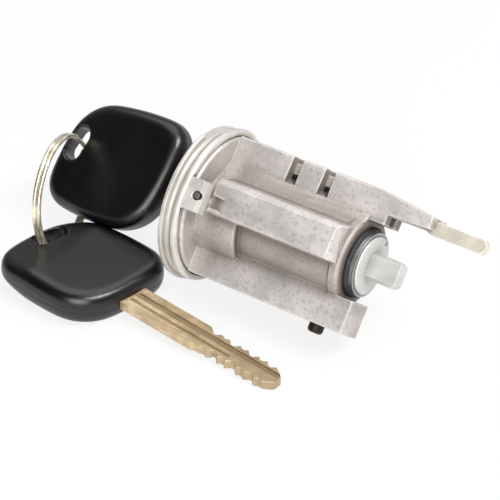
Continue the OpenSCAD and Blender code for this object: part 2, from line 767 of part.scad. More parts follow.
// Key blade: grooved on both sides and cut along both edges of its far half
module blade_shape() {
    cut_pitch = 2.6;
    cut_flat = 0.8;
    cut_shift = 0.4;
    tip_len = 3;
    tip_cut = 0.6;
    waist_x = 2;
    waist_end_x = 1.4;
    groove_x = -0.3;
    groove_w = 1.5;
    groove_depth = 0.45;
    line_w = 0.8;
    line_depth = 0.3;
    line_len = blade_len * 0.7;
    cut_depths = [[0.8, 0.3], [0.4, 1], [1.1, 0.6], [0.5, 1.1], [1, 0.4], [0.6, 0.8], [0.9, 0.5]];
    first_cut = blade_len - len(cut_depths) * cut_pitch - 1.5;
    tip = blade_w * 0.22;
    cut_w = blade_w - 1.2;
    difference() {
        plate(blade_t / 2, -blade_t / 2) difference() {
            polygon([
                [-blade_root, -blade_w / 2], [first_cut - waist_x, -blade_w / 2],
                [first_cut - waist_end_x, -cut_w / 2], [blade_len - tip_len, -cut_w / 2],
                [blade_len - tip_cut, -tip], [blade_len, -tip + tip_cut],
                [blade_len, tip - tip_cut], [blade_len - tip_cut, tip],
                [blade_len - tip_len, cut_w / 2], [first_cut - waist_end_x, cut_w / 2],
                [first_cut - waist_x, blade_w / 2], [-blade_root, blade_w / 2]
            ]);
            for (i = [0 : len(cut_depths) - 1], side = [0, 1]) {
                depth = cut_depths[i][side];
                x = first_cut + (i + side * cut_shift) * cut_pitch;
                mirror([0, side]) translate([x, cut_w / 2]) polygon([
                    [-cut_flat / 2 - depth, fine], [-cut_flat / 2, -depth], [cut_flat / 2, -depth],
                    [cut_flat / 2 + depth, fine]
                ]);
            }
        }
        for (side = [0, 1]) mirror([0, side, 0]) {
            low = (2 * side - 1) * 0.2;
            translate([groove_x, blade_t / 2 - groove_depth, low]) cube([blade_len, 1, groove_w]);
            translate([groove_x, blade_t / 2 - line_depth, low - 2]) cube([line_len, 1, line_w]);
        }
    }
}

// A disc with a full round edge: the corner of a key head
module head_corner(x, z, r, edge) {
    translate([x, 0, z]) rotate([90, 0, 0]) rotate_extrude($fn = 28) {
        intersection() {
            translate([r - edge, 0]) circle(edge, $fn = 20);
            translate([0, -edge]) square([r, 2 * edge]);
        }
    }
}

// Moulded key head with a slot for the ring and a pocket that the blade's root fills
module head_shape() {
    tight = [head_len / 2 - head_tight_r, head_w / 2 - head_tight_r];
    full = [head_len / 2 - head_full_r - head_full_inset, head_w / 2 - head_full_r - head_full_inset];
    difference() {
        translate([-head_len / 2, 0, 0]) hull() {
            head_corner(tight[0], tight[1], head_tight_r, head_t / 2);
            head_corner(full[0], -full[1] - head_full_drop, head_full_r, head_t / 2);
            head_corner(-tight[0], -tight[1], head_tight_r, head_end_t / 2);
            head_corner(-full[0], full[1], head_full_r, head_end_t / 2);
        }
        translate([slot_x, head_t, slot_z]) rotate([90, ring_slot_lean, 0]) linear_extrude(2 * head_t) {
            square([ring_slot_w, ring_slot_len - ring_slot_w], center = true);
            for (side = [-1, 1]) translate([0, side * (ring_slot_len - ring_slot_w) / 2]) {
                circle(ring_slot_w / 2);
            }
        }
        plate(blade_t / 2, -blade_t / 2) {
            translate([-blade_root, -blade_w / 2]) square([blade_root + 1, blade_w]);
        }
    }
}

// Places a key in the lock
module in_lock() {
    lay() translate([key_x, 0, 0]) children();
}

// Places the spare key flat on the ground, its blade dropping to the tip
module beside_lock() {
    translate(spare_at) rotate([0, 0, spare_heading]) rotate([0, blade_drop, 0]) {
        rotate([-90, 0, 0]) children();
    }
}

module key_head() {
    color([0.06, 0.055, 0.065]) in_lock() head_shape();
}

module key_blade() {
    color([0.72, 0.62, 0.42]) in_lock() blade_shape();
}

module spare_key_head() {
    color([0.08, 0.075, 0.085]) beside_lock() head_shape();
}

module spare_key_blade() {
    color([0.72, 0.62, 0.42]) beside_lock() blade_shape();
}

// Two-turn split ring through both heads, with the gap of each wire end
module split_ring() {
    color([0.68, 0.62, 0.52]) translate(ring_mid) {
        rotate([0, acos(ring_normal[2]), atan2(ring_normal[1], ring_normal[0])]) difference() {
            rotate_extrude() for (side = [-1, 1]) {
                translate([ring_r, side * (ring_wire_r - press_gap)]) circle(ring_wire_r, $fn = 24);
            }
            for (side = [0, 1]) mirror([0, 0, side]) rotate([0, 0, ring_end_at + ring_end_turn * side]) {
                translate([ring_r - 2 * ring_wire_r, -ring_end_gap / 2, ring_split]) {
                    cube([4 * ring_wire_r, ring_end_gap, 4 * ring_wire_r]);
                }
            }
        }
    }
}

housing();
front_cap();
cap_pin();
plug();
wafers();
wafer_springs();
tail_piece();
tail_pin();
rear_bush();
seal_ring();
lever();
lever_pin();
lever_spring();
follower_pin();
plunger();
plunger_spring();
key_head();
key_blade();
split_ring();
spare_key_head();
spare_key_blade();
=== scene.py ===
"""Dresses the ignition lock set: cast lock, two keys and the split ring that joins them."""

import math

import bmesh
import bpy
import numpy as np
from mathutils import Matrix, Vector


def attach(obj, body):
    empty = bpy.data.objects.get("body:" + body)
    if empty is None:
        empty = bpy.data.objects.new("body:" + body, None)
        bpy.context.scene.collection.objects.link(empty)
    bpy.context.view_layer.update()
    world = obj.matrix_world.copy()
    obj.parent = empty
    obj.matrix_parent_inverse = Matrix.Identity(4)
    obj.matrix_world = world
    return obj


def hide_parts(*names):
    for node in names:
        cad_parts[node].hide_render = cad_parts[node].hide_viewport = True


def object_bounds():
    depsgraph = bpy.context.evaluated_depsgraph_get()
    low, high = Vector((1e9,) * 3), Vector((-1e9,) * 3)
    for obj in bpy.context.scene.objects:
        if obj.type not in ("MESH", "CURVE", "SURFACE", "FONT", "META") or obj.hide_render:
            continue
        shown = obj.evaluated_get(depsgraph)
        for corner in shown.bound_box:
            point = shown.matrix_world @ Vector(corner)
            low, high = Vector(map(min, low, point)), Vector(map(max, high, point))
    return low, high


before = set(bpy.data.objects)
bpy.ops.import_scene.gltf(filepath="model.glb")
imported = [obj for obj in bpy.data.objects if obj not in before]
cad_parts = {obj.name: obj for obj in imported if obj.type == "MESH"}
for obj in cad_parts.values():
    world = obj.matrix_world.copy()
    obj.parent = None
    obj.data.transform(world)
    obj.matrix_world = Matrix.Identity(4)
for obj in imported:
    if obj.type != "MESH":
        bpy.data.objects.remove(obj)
SOLID_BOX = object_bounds()

bl_info = {
    "name": "Ignition Lock Set",
    "version": (1, 0, 0),
    "blender": (4, 2, 0),
    "location": "3D View > Sidebar > Lock",
    "description": "Dresses a cast ignition lock with its keys and split ring",
    "category": "Object",
}

MM = 0.001
GROUND = float(SOLID_BOX[0][2])
WHITE = (1.0, 1.0, 1.0)

# Points of a solid, or of a worked-out grid, this close are one point, and faces this flat are one face
SOLID_MERGE = 0.004 * MM
GRID_MERGE = 0.0001 * MM
FLAT_ANGLE = math.radians(0.6)

# Key heads: points along the rim, directions of the outline, and rows of each band from rim to slot
HEAD_POINTS = 288
HEAD_DIRECTIONS = 1440
EDGE_ROWS, FACE_ROWS, LIP_ROWS, WALL_ROWS = 16, 15, 9, 6

# Key heads: softness where two corner arcs meet, and the trim that takes back what it adds
OUTLINE_BLEND = 0.6 * MM
OUTLINE_TRIM = 0.28 * MM

# Key heads: power of the edge round (2 is elliptic, more is fuller) and its first row's angle in radians
CROWN_POWER = 2.6
EDGE_START = 0.12

# Key heads: depth of the parting line in the rim and the insets of the rows beside it
PARTING_GROOVE = 0.10 * MM
PARTING_ROWS = (0.0, 0.003 * MM, 0.02 * MM)

# Key heads: band of close rows at the slot, and the most that the edge and this band take of a narrow face
LIP_BAND = 1.3 * MM
EDGE_SHARE = 0.6
LIP_SHARE = 0.45

# Split ring: steps along the wire and round it, half the angle of the crossing, and where the wire starts
RING_STEPS, RING_SIDES = 520, 20
RING_CROSSING = math.radians(16.0)
RING_START = math.radians(150.0)

# Split ring: spacing of the turns and thickness of the wire, as shares of the solid's
TURN_SHARE = 0.97
WIRE_SHARE = 0.985

# Split ring: power of the section (2 is round, more is squarer), and its corner against the wire's radius
SECTION_POWER = 3
SECTION_CORNER = 1.06

# Studio: half the floor's side, and the share of the floor that looks white whatever light falls on it
FLOOR_REACH = 3.0
FLOOR_GLOW = 0.84

# Lamps: name, place, what it looks at, the lengths of its two sides, power in watts
LAMPS = (
    ("key light", (0.45, -0.08, 0.63), (0.0, -0.01, 0.0), (0.56, 0.11), 5.6),
    ("front fill", (0.30, -0.72, 0.30), (0.0, 0.0, 0.0), (0.5, 0.5), 4.5),
    ("overhead", (-0.10, 0.20, 0.78), (0.0, 0.0, 0.0), (0.8, 0.8), 3.1),
)

# The photograph's view: where the camera stands round its target, and its lens and sensor in millimetres
VIEW_AZIMUTH, VIEW_ELEVATION = math.radians(34.724), math.radians(35.923)
VIEW_DISTANCE = 561.692 * MM
VIEW_TARGET = Vector((7.807, 0.0, -8.979)) * MM
LENS, SENSOR = 180.0, 36.0
CLIP_START = 10.0 * MM


def length(name, description, millimetres):
    """A length property, given in millimetres and kept in metres."""
    return bpy.props.FloatProperty(
        name=name,
        description=description,
        default=millimetres * MM,
        subtype="DISTANCE",
        unit="LENGTH",
        precision=5,
    )


def angle(name, description, degrees):
    """An angle property, given in degrees and kept in radians."""
    return bpy.props.FloatProperty(
        name=name,
        description=description,
        default=math.radians(degrees),
        subtype="ANGLE",
        unit="ROTATION",
    )


def colour(name, description, red, green, blue):
    """A colour property in linear light."""
    return bpy.props.FloatVectorProperty(
        name=name,
        description=description,
        default=(red, green, blue),
        size=3,
        min=0.0,
        max=1.0,
        subtype="COLOR",
    )


class LockSizes(bpy.types.PropertyGroup):
    """Sizes of the dressed pieces that are not read from the solids."""

    cast_edge: length("Cast edge", "Radius on the edges of the cast body", 0.2)
    cap_edge: length("Cap edge", "Radius on the edges of the front cap", 0.15)
    small_edge: length("Small edge", "Radius on the edges of turned and stamped pieces", 0.12)
    bush_edge: length("Bush edge", "Radius on the edges of the grooved bush", 0.04)
    roll: angle("Roll", "Roll of the lock about its own axis as it lies", 41.0)
    key_shoulder: length("Key shoulder", "Place of the shoulder of the key in the lock along the axis", -12.6)
    spare_x: length("Spare key X", "Place of the spare key's shoulder along the lock", -6.8)
    spare_y: length("Spare key Y", "Place of the spare key's shoulder beside the lock", -23.7)
    spare_z: length("Spare key Z", "Height of the spare key's shoulder", -14.597)
    spare_heading: angle("Spare key heading", "Heading of the spare key's blade", -5.0)
    spare_drop: angle("Spare key drop", "Drop of the spare key's blade towards its tip", 3.925)
    head_length: length("Head length", "Length of a key head", 31.8)
    head_width: length("Head width", "Width of a key head", 28.4)
    head_thick: length("Head thickness", "Thickness of a key head near the blade", 8.3)
    head_thin: length("Head end thickness", "Thickness of a key head at its ring end", 6.0)
    head_edge: length("Head edge", "Width of the round along the rim of a key head", 3.7)
    ramp_start: length("Ramp start", "Place along a head, from its middle, where it starts to thicken", -12.9)
    ramp_length: length("Ramp length", "Length over which a head thickens", 8.8)
    tight_corner: length("Tight corner", "Radius of the two tight corners of a head", 6.6)
    full_corner: length("Full corner", "Radius of the two full corners of a head", 11.6)
    full_inset: length("Full corner inset", "How far the full corners stand back on each side", 1.0)
    full_drop: length("Full corner drop", "How much further the full corner beside the blade reaches", 1.2)
    slot_length: length("Slot length", "Length of the ring slot across a head", 8.4)
    slot_width: length("Slot width", "Width of the ring slot", 4.6)
    slot_inset: length("Slot inset", "Distance from the slot's middle to the end of the head", 4.7)
    slot_rise: length("Slot rise", "Distance of the slot's middle from the middle line of the head", 1.2)
    slot_lean: angle("Slot lean", "Lean of the ring slot", 14.0)
    slot_lip: length("Slot lip", "Radius on the edge of the ring slot", 0.75)
    blade_thick: length("Blade thickness", "Thickness of a key blade between its flat faces", 2.2)
    stain_depth: length("Stain depth", "Depth below the flat faces at which a blade is fully stained", 0.3)
    wire: length("Ring wire", "Half the thickness of the split ring's wire", 0.55)


class LockColours(bpy.types.PropertyGroup):
    """Base colours of the finishes, in linear light."""

    cast: colour("Cast metal", "Die-cast body", 0.68, 0.63, 0.605)
    # Painted shade: dark brownish grey for the channels and corners of the cast body
    painted_shade: colour("Painted shade", "Dull film in the channels of the cast body", 0.19, 0.155, 0.13)
    # Painted highlight for the outer edges of the cast body
    painted_edge_highlight: colour("Painted edge highlight", "Rubbed edges of the cast body", 0.86, 0.86, 0.85)
    cap: colour("Cap metal", "Front cap", 0.71, 0.69, 0.66)
    # Painted shade for the groove of the front cap
    painted_shade_tone: colour("Cap film", "Warm film in the groove of the front cap", 0.30, 0.245, 0.165)
    pin: colour("Cap pin", "Pin in the tongue of the front cap", 0.30, 0.27, 0.25)
    plug: colour("Plug brass", "Plug that the key turns", 0.56, 0.48, 0.31)
    tail: colour("Tail metal", "Tail disc and tang", 0.61, 0.60, 0.58)
    bush: colour("Bush metal", "Grooved bush", 0.33, 0.32, 0.33)
    rubber: colour("Rubber", "Sealing ring", 0.016, 0.0155, 0.0165)
    wafer: colour("Wafer brass", "Wafer tumblers", 0.58, 0.43, 0.16)
    spring: colour("Spring steel", "Coil springs", 0.42, 0.42, 0.44)
    tail_pin: colour("Tail pin", "Cross pin of the tail", 0.24, 0.24, 0.26)
    lever: colour("Lever metal", "Stamped lever", 0.80, 0.75, 0.63)
    lever_pin: colour("Lever pin", "Pin of the lever, and the follower", 0.34, 0.34, 0.36)
    plunger: colour("Dark steel", "Retaining plunger", 0.028, 0.018, 0.014)
    head: colour("Moulded black", "Key heads", 0.0018, 0.0011, 0.0016)
    brass: colour("Brass", "Key blades", 0.72, 0.56, 0.35)
    stain: colour("Stained brass", "Tarnish in the grooves of the blades", 0.16, 0.095, 0.035)
    ring: colour("Ring steel", "Split ring", 0.90, 0.80, 0.64)
    floor: colour("Floor", "Studio floor", 0.74, 0.74, 0.74)


class Value:
    """A socket that takes part in Python arithmetic: each operator adds one Math node."""

    def __init__(self, finish, socket):
        self.finish = finish
        self.socket = socket

    def math(self, operation, *values):
        """One Math node over sockets and numbers."""
        return self.finish.node("ShaderNodeMath", {"operation": operation}, dict(enumerate(values)))

    def __add__(self, other):
        return self.math("ADD", self, other)

    def __radd__(self, other):
        return self.math("ADD", other, self)

    def __sub__(self, other):
        return self.math("SUBTRACT", self, other)

    def __rsub__(self, other):
        return self.math("SUBTRACT", other, self)

    def __mul__(self, other):
        return self.math("MULTIPLY", self, other)

    def __rmul__(self, other):
        return self.math("MULTIPLY", other, self)

    def clamp(self):
        """The value kept between 0 and 1."""
        return self.finish.node("ShaderNodeClamp", {}, {"Value": self})

    def between(self, low, high):
        """0 below low, 1 above high and a smooth rise in between."""
        return self.finish.node(
            "ShaderNodeMapRange",
            {"interpolation_type": "SMOOTHSTEP"},
            {"Value": self, "From Min": low, "From Max": high},
        )


class Finish:
    """A material, or the world, while its nodes are written."""

    def __init__(self, owner):
        self.owner = owner
        owner.use_nodes = True
        self.tree = owner.node_tree
        self.tree.nodes.clear()

    def node(self, kind, settings, inputs, output=0):
        """Adds a node: its settings are set first, then each socket's value or link; gives one output."""
        made = self.tree.nodes.new(kind)
        for key, setting in settings.items():
            setattr(made, key, setting)
        for key, item in inputs.items():
            socket = made.inputs[key]
            if isinstance(item, Value):
                self.tree.links.new(item.socket, socket)
            elif hasattr(socket.default_value, "__len__") and len(socket.default_value) == 4:
                socket.default_value = (*tuple(item)[:3], 1.0)
            else:
                socket.default_value = item
        return Value(self, made.outputs[output]) if made.outputs else None

    def place(self):
        """Object coordinates."""
        return self.node("ShaderNodeTexCoord", {}, {}, "Object")

    def axis(self, name):
        """One of the object coordinates: X along the lock, Y beside it or Z above it."""
        return self.node("ShaderNodeSeparateXYZ", {}, {"Vector": self.place()}, name)

    def noise(self, scale, detail=3.0, roughness=0.55, place=None):
        """Cloud noise from 0 to 1 at a scale in waves per metre."""
        return self.node(
            "ShaderNodeTexNoise",
            {},
            {"Vector": place or self.place(), "Scale": scale, "Detail": detail, "Roughness": roughness},
        )

    def marks(self, turn, stretch, detail=3.0, roughness=0.5):
        """Noise on turned and stretched coordinates, for drawn marks: waves per metre on each axis."""
        place = self.node(
            "ShaderNodeMapping", {}, {"Vector": self.place(), "Rotation": turn, "Scale": stretch}
        )
        return self.noise(1.0, detail, roughness, place)

    def mix(self, factor, first, second):
        """Blends two colours by a factor; the colour sockets of a Mix node are 6 and 7, and 2 going out."""
        return self.node("ShaderNodeMix", {"data_type": "RGBA"}, {0: factor, 6: first, 7: second}, 2)

    def cavity(self, distance, inside):
        """1 on open faces, falling towards 0 in corners and channels, or on outer edges if asked inside."""
        settings = {"samples": 6, "inside": inside}
        return self.node("ShaderNodeAmbientOcclusion", settings, {"Distance": distance}, "AO")

    def corners(self, distance, low, high):
        """1 in corners and channels, 0 on open faces: low and high limit the cavity value in between."""
        return 1.0 - self.cavity(distance, False).between(low, high)

    def edges(self, distance):
        """1 on outer edges and 0 on faces."""
        return 1.0 - self.cavity(distance, True).between(0.50, 0.92)

    def bump(self, height, strength, distance):
        """A normal from a height field."""
        return self.node(
            "ShaderNodeBump", {}, {"Strength": strength, "Distance": distance, "Height": height}
        )

    def surface(self, **sockets):
        """The closing shader; names use underscores for spaces."""
        shader = self.node(
            "ShaderNodeBsdfPrincipled", {}, {key.replace("_", " "): item for key, item in sockets.items()}
        )
        return self.closed("ShaderNodeOutputMaterial", shader)

    def closed(self, end, shader):
        """Links a shader to the output node and gives the finished material or world."""
        self.node(end, {}, {"Surface": shader})
        return self.owner


def material(name):
    """A new material, ready for its nodes."""
    return Finish(bpy.data.materials.new(name))


def tint(tone, gain):
    """A colour made lighter or darker."""
    return tuple(min(1.0, part * gain) for part in tuple(tone)[:3])


def cast_zinc(colours):
    """Die-cast zinc: cloudy grey with flow marks, specks and grain, painted shade and painted edge
    highlights.

    The painted shade lies in corners and channels and close to the lock's axis, and is thinner beside the
    cap.
    """
    f = material("cast_zinc")
    cloud = f.noise(140.0, detail=4.0)
    grain = f.noise(2600.0, roughness=0.65)
    speck = f.noise(1300.0, detail=2.0, roughness=0.5)
    flow = f.marks(turn=(0.0, 0.0, 0.0), stretch=(70.0, 460.0, 460.0))
    tone = f.mix(cloud.between(0.32, 0.70), tint(colours.cast, 0.80), tint(colours.cast, 1.06))
    tone = f.mix(flow.between(0.45, 0.75) * 0.4, tone, tint(colours.cast, 0.70))
    tone = f.mix(speck.between(0.53, 0.70) * 0.6, tone, tint(colours.cast, 0.48))
    tone = f.mix(grain.between(0.54, 0.70) * 0.5, tone, tint(colours.cast, 1.35))

    along, aside, above = (f.axis(name) for name in "XYZ")
    # Painted shade: darker in corners and channels, found by cavity, and close to the axis, less beside the
    # cap
    shaded_radius, unshaded_radius = 9.8 * MM, 12.5 * MM
    near_axis = 1.0 - (aside * aside + above * above).between(shaded_radius**2, unshaded_radius**2)
    past_cap = along.between(2.0 * MM, 6.0 * MM)
    painted_shade = f.corners(10.0 * MM, 0.62, 0.99) * (0.65 + 0.35 * cloud)
    painted_shade = (painted_shade + near_axis * 0.42).clamp() * (0.35 + 0.65 * past_cap)
    tone = f.mix(painted_shade * 0.95, tone, colours.painted_shade)
    # Painted highlight: outer edges lightened towards a pale grey
    tone = f.mix(f.edges(0.6 * MM) * 0.75, tone, colours.painted_edge_highlight)
    return f.surface(
        Base_Color=tone,
        Metallic=0.5,
        Roughness=0.36 + 0.16 * cloud + 0.14 * grain,
        Normal=f.bump(grain * 0.7 + flow * 0.3, strength=0.45, distance=0.06 * MM),
    )


def plated_cap(colours):
    """Turned and plated cap: bright and a little cloudy, with a fine grain and warm painted shade in the
    groove.
    """
    f = material("plated_cap")
    cloud = f.noise(160.0)
    grain = f.noise(3000.0, detail=2.0)
    tone = f.mix(cloud.between(0.35, 0.70), tint(colours.cap, 0.88), tint(colours.cap, 1.10))
    # Painted shade: warm darkening in the groove and corners, found by cavity
    tone = f.mix(f.corners(2.5 * MM, 0.35, 0.95) * 0.8, tone, colours.painted_shade_tone)
    return f.surface(
        Base_Color=tone,
        Metallic=0.5,
        Roughness=0.32 + 0.16 * cloud + 0.06 * grain,
        Normal=f.bump(grain, strength=0.10, distance=0.03 * MM),
    )


def plain_metal(name, tone, dull=0.3, spread=0.12, metallic=0.9):
    """Plain metal with a fine grain, painted shade in its corners and painted highlights on its edges.

    Its roughness starts at dull, and its cloudy tone goes spread below and above the one given.
    """
    f = material(name)
    cloud = f.noise(260.0)
    grain = f.noise(3600.0, detail=2.0)
    base = f.mix(cloud.between(0.30, 0.70), tint(tone, 1.0 - spread), tint(tone, 1.0 + spread))
    # Painted shade: corners and channels darkened, found by cavity
    base = f.mix(f.corners(3.0 * MM, 0.45, 0.98) * 0.65, base, tint(tone, 0.35))
    # Painted highlight: outer edges lightened
    base = f.mix(f.edges(0.4 * MM) * 0.7, base, tint(tone, 1.45))
    return f.surface(
        Base_Color=base,
        Metallic=metallic,
        Roughness=dull + 0.12 * cloud + 0.06 * grain,
        Normal=f.bump(grain, strength=0.10, distance=0.03 * MM),
    )


def worn_brass(colours):
    """Key brass: warm, scratched along the blade, darker to its tip, brown where it is cut below the face."""
    f = material("worn_brass")
    deep = f.node("ShaderNodeAttribute", {"attribute_name": "depth"}, {}, "Fac")
    cloud = f.noise(300.0, detail=4.0)
    drawn = f.marks(turn=(0.0, 0.0, math.radians(5.0)), stretch=(120.0, 2600.0, 2600.0), roughness=0.6)
    grain = f.noise(3400.0, detail=2.0)
    to_tip = f.axis("X").between(0.0, 30.0 * MM)
    stain = (deep * (0.55 + 0.45 * cloud)).clamp()
    tone = f.mix(cloud.between(0.30, 0.70), tint(colours.brass, 0.78), tint(colours.brass, 1.14))
    tone = f.mix(drawn.between(0.48, 0.66) * 0.7, tone, tint(colours.brass, 0.50))
    tone = f.mix(to_tip * 0.65, tone, tint(colours.brass, 0.55))
    tone = f.mix(stain * 0.68, tone, colours.stain)
    return f.surface(
        Base_Color=tone,
        Metallic=0.7,
        Roughness=0.27 + 0.14 * cloud + 0.12 * deep,
        Normal=f.bump(drawn + 0.5 * grain, strength=0.16, distance=0.03 * MM),
    )


def moulded_black(colours):
    """Satin black moulding: faint grain, rubbed patches and thin handling scratches."""
    f = material("moulded_black")
    cloud = f.noise(110.0, detail=4.0)
    grain = f.noise(2600.0, detail=2.0, roughness=0.6)
    scratch = f.marks(turn=(0.3, 0.5, 0.8), stretch=(90.0, 2400.0, 2400.0), detail=2.0)
    tone = f.mix(cloud.between(0.35, 0.75), colours.head, tint(colours.head, 1.9))
    tone = f.mix(scratch.between(0.66, 0.78) * 0.35, tone, tint(colours.head, 5.0))
    return f.surface(
        Base_Color=tone,
        Roughness=0.23 + 0.10 * cloud + 0.09 * grain - 0.04 * scratch,
        Specular_IOR_Level=0.66,
        Normal=f.bump(grain + 0.3 * scratch, strength=0.05, distance=0.05 * MM),
    )


def ring_steel(colours):
    """Plated spring steel: warm and cloudy in tone, with a fine grain."""
    f = material("ring_steel")
    cloud = f.noise(380.0, detail=4.0)
    grain = f.noise(4200.0, detail=2.0)
    tone = f.mix(cloud.between(0.35, 0.70), tint(colours.ring, 0.72), tint(colours.ring, 1.25))
    return f.surface(
        Base_Color=tone,
        Metallic=0.8,
        Roughness=0.20 + 0.16 * cloud + 0.05 * grain,
        Normal=f.bump(grain, strength=0.12, distance=0.03 * MM),
    )


def black_rubber(colours):
    """Dull black rubber with a dusty bloom."""
    f = material("black_rubber")
    cloud = f.noise(700.0)
    grain = f.noise(5200.0, detail=2.0)
    tone = f.mix(cloud.between(0.45, 0.80), colours.rubber, tint(colours.rubber, 2.4))
    return f.surface(
        Base_Color=tone,
        Roughness=0.46 + 0.20 * cloud,
        Normal=f.bump(grain, strength=0.15, distance=0.03 * MM),
    )


def studio_floor(colours):
    """Pale floor: mostly white to the eye and in reflections, partly diffuse so that it keeps the shadow."""
    f = material("studio_floor")
    camera, glossy, through = (
        f.node("ShaderNodeLightPath", {}, {}, ray)
        for ray in ("Is Camera Ray", "Is Glossy Ray", "Is Transmission Ray")
    )
    seen = (camera + glossy + through).clamp()
    matt = f.node("ShaderNodeBsdfDiffuse", {}, {"Color": colours.floor, "Roughness": 0.0})
    glow = f.node("ShaderNodeEmission", {}, {"Color": WHITE, "Strength": 1.0})
    shader = f.node("ShaderNodeMixShader", {}, {0: seen * FLOOR_GLOW, 1: matt, 2: glow})
    return f.closed("ShaderNodeOutputMaterial", shader)


def studio_world():
    """Soft surrounding light, stronger from behind the object than from the front."""
    f = Finish(bpy.data.worlds.new("studio"))
    way = f.node("ShaderNodeTexCoord", {}, {}, "Generated")
    depth = f.node("ShaderNodeSeparateXYZ", {}, {"Vector": way}, "Y")
    front, behind = 0.03, 0.42
    strength = front + (behind - front) * depth.between(-0.8, 0.9)
    light = f.node("ShaderNodeBackground", {}, {"Color": WHITE, "Strength": strength})
    return f.closed("ShaderNodeOutputWorld", light)


def finished(obj, body, node, look):
    """Gives a piece its material and its body, and hides the solid that it stands for."""
    obj.data.materials.clear()
    obj.data.materials.append(look)
    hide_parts(node)
    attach(obj, body)
    return obj


def rounded_copy(node, body, look, edge=0.0, steps=2, split=30.0):
    """A solid's own surface with its loose triangles joined, flat neighbours merged and edges rounded.

    Faces that meet at less than the split angle, in degrees, are shaded as one and keep a plain edge.
    """
    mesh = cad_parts[node].data.copy()
    mesh.name = "dressed_" + node
    work = bmesh.new()
    work.from_mesh(mesh)
    bmesh.ops.remove_doubles(work, verts=work.verts[:], dist=SOLID_MERGE)
    bmesh.ops.dissolve_limit(
        work,
        angle_limit=FLAT_ANGLE,
        verts=work.verts[:],
        edges=work.edges[:],
        use_dissolve_boundaries=False,
    )
    for face in work.faces:
        face.smooth = True
    for join in work.edges:
        join.smooth = len(join.link_faces) == 2 and join.calc_face_angle(0.0) < math.radians(split)
    work.to_mesh(mesh)
    work.free()
    obj = bpy.data.objects.new("dressed_" + node, mesh)
    bpy.context.scene.collection.objects.link(obj)
    if edge > 0.0:
        bevel = obj.modifiers.new("Edge round", "BEVEL")
        bevel.width = edge
        bevel.segments = steps
        bevel.limit_method = "ANGLE"
        bevel.angle_limit = math.radians(split)
        bevel.use_clamp_overlap = False
        bevel.harden_normals = True
    return finished(obj, body, node, look)


def mesh_from_grid(name, points, close_rows, close_columns):
    """A mesh of four-sided faces over a grid of points, shape (rows, columns, 3), closed as asked."""
    rows, columns = points.shape[:2]
    index = np.arange(rows * columns).reshape(rows, columns)
    if close_rows:
        index = np.vstack([index, index[:1]])
    if close_columns:
        index = np.hstack([index, index[:, :1]])
    corners = [index[:-1, :-1], index[1:, :-1], index[1:, 1:], index[:-1, 1:]]
    mesh = bpy.data.meshes.new(name)
    mesh.from_pydata(points.reshape(-1, 3), [], np.stack(corners, axis=-1).reshape(-1, 4))
    work = bmesh.new()
    work.from_mesh(mesh)
    bmesh.ops.remove_doubles(work, verts=work.verts[:], dist=GRID_MERGE)
    bmesh.ops.recalc_face_normals(work, faces=work.faces[:])
    work.to_mesh(mesh)
    work.free()
    mesh.polygons.foreach_set("use_smooth", np.ones(len(mesh.polygons), dtype=bool))
    obj = bpy.data.objects.new(name, mesh)
    bpy.context.scene.collection.objects.link(obj)
    return obj


def mesh_points(mesh):
    """The points of a mesh as an array, shape (points, 3)."""
    spots = np.empty(len(mesh.vertices) * 3)
    mesh.vertices.foreach_get("co", spots)
    return spots.reshape(-1, 3)


def moved(points, matrix):
    """Points of any grid shape carried by a 4 x 4 matrix."""
    turn = np.array(matrix)[:3, :3]
    shift = np.array(matrix)[:3, 3]
    return points @ turn.T + shift


def smooth_step(share):
    """0 below 0, 1 above 1, and share * share * (3 - 2 * share) in between."""
    share = np.clip(share, 0.0, 1.0)
    return share * share * (3.0 - 2.0 * share)


def key_in_lock(sizes):
    """The key in the lock: its shoulder stands on the axis and rolls with the lock."""
    return Matrix.Rotation(-sizes.roll, 4, "X") @ Matrix.Translation((sizes.key_shoulder, 0.0, 0.0))


def key_on_ground(sizes):
    """The spare key: it lies flat, turned to its heading, its blade dropping to the tip."""
    return (
        Matrix.Translation((sizes.spare_x, sizes.spare_y, sizes.spare_z))
        @ Matrix.Rotation(sizes.spare_heading, 4, "Z")
        @ Matrix.Rotation(sizes.spare_drop, 4, "Y")
        @ Matrix.Rotation(-math.pi / 2.0, 4, "X")
    )


def head_outline(sizes):
    """The outline of a key head: directions from its middle, its reach in each, and even points on its rim.

    The reach is the soft maximum, blend * log(sum of exp(support / blend)), less a trim, of the support
    functions of four corner discs, each centre . direction + radius. A point on the rim is
    reach * direction + slope * tangent, where the slope is the change of the reach with the angle.
    """
    half = np.array([sizes.head_length, sizes.head_width]) / 2.0
    tight = half - sizes.tight_corner
    full = half - sizes.full_corner - sizes.full_inset
    centres = np.array([tight, -tight, full * [1, -1] - [0.0, sizes.full_drop], full * [-1, 1]])
    radii = np.array([sizes.tight_corner] * 2 + [sizes.full_corner] * 2)
    turn = np.linspace(0.0, 2.0 * np.pi, HEAD_DIRECTIONS, endpoint=False)
    way = np.stack([np.cos(turn), np.sin(turn)], axis=1)
    tangent = np.stack([-np.sin(turn), np.cos(turn)], axis=1)
    support = centres @ way.T + radii[:, None]
    reach = OUTLINE_BLEND * np.logaddexp.reduce(support / OUTLINE_BLEND, axis=0) - OUTLINE_TRIM
    slope = (np.roll(reach, -1) - np.roll(reach, 1)) / (2.0 * (turn[1] - turn[0]))
    rim = reach[:, None] * way + slope[:, None] * tangent
    closed = np.vstack([rim, rim[:1]])
    walk = np.concatenate([[0.0], np.cumsum(np.linalg.norm(np.diff(closed, axis=0), axis=1))])
    even = np.linspace(0.0, walk[-1], HEAD_POINTS, endpoint=False)
    return way, reach, np.stack([np.interp(even, walk, closed[:, k]) for k in (0, 1)], axis=1)


